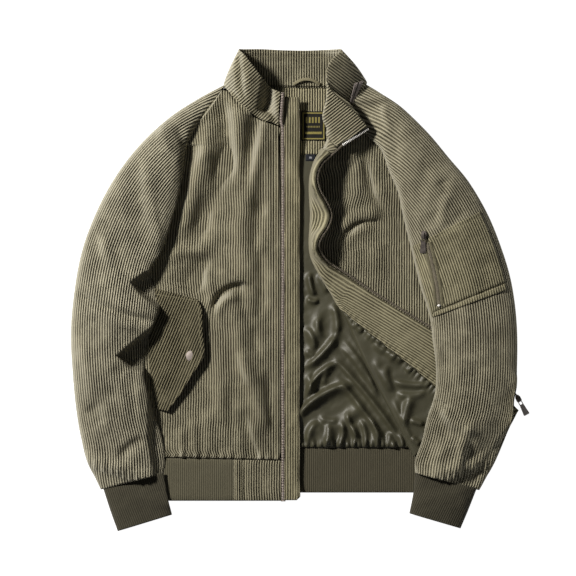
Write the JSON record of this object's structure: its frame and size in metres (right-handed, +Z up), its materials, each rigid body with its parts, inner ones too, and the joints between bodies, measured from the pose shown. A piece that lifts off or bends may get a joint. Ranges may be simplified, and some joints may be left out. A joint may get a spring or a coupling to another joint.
{
  "type": "corduroy jacket",
  "caption": "Corduroy zip-front bomber jacket laid flat, left front folded back over its satin lining, with ribbed hem and cuffs and a stand collar.",
  "frame": {"origin": "under the middle of the jacket's box, on the surface it lies on", "axes": "+Z up off the surface, +Y from hem to collar, +X towards the wearer's left sleeve"},
  "size_m": [0.7339, 0.7714, 0.0609],
  "materials": {
    "corduroy": "olive khaki six-wale cotton corduroy",
    "satin_lining": "dark olive polyester satin",
    "rib_knit": "two-by-two rib knit",
    "woven_label": "woven damask",
    "neck_tape": "grosgrain tape",
    "zip_chain": "antique nickel teeth",
    "gunmetal": "gunmetal plating, worn light at its edges",
    "stud_cap": "matt nickel"
  },
  "bodies": {
    "jacket": {"back_body": "corduroy", "back_hem_rib": "rib_knit", "back_lining": "satin_lining", "back_neck_facing": "corduroy", "collar": "corduroy", "collar_facing": "corduroy", "hanger_loop": "corduroy", "left_cuff": "rib_knit", "left_facing": "corduroy", "left_front": "corduroy", "left_hem_block": "corduroy", "left_hem_rib": "rib_knit", "left_lining": "satin_lining", "left_sleeve": "corduroy", "left_zip": "zip_chain", "main_slider": "gunmetal", "neck_label": "woven_label", "neck_tape": "neck_tape", "pocket_flap": "corduroy", "pocket_slider": "gunmetal", "pocket_zip": "zip_chain", "right_cuff": "rib_knit", "right_fly": "corduroy", "right_front": "corduroy", "right_hem_block": "corduroy", "right_hem_rib": "rib_knit", "right_sleeve": "corduroy", "right_zip": "zip_chain", "size_label": "woven_label", "sleeve_pocket": "corduroy", "snap_cap": "stud_cap"},
    "main_pull": {"main_pull": "gunmetal"},
    "pocket_pull": {"pocket_pull": "gunmetal"}
  },
  "joints": [
    {"name": "main_pull_hinge", "type": "hinge", "parent": "jacket", "child": "main_pull", "pos_m": [0.34978, -0.17558, 0.00712], "axis": [-0.8821, -0.4711, 0], "range_deg": [0, 105]},
    {"name": "pocket_pull_hinge", "type": "hinge", "parent": "jacket", "child": "pocket_pull", "pos_m": [0.19571, 0.08611, 0.05622], "axis": [-0.9753, 0.0683, -0.2103], "range_deg": [0, 150]}
  ]
}
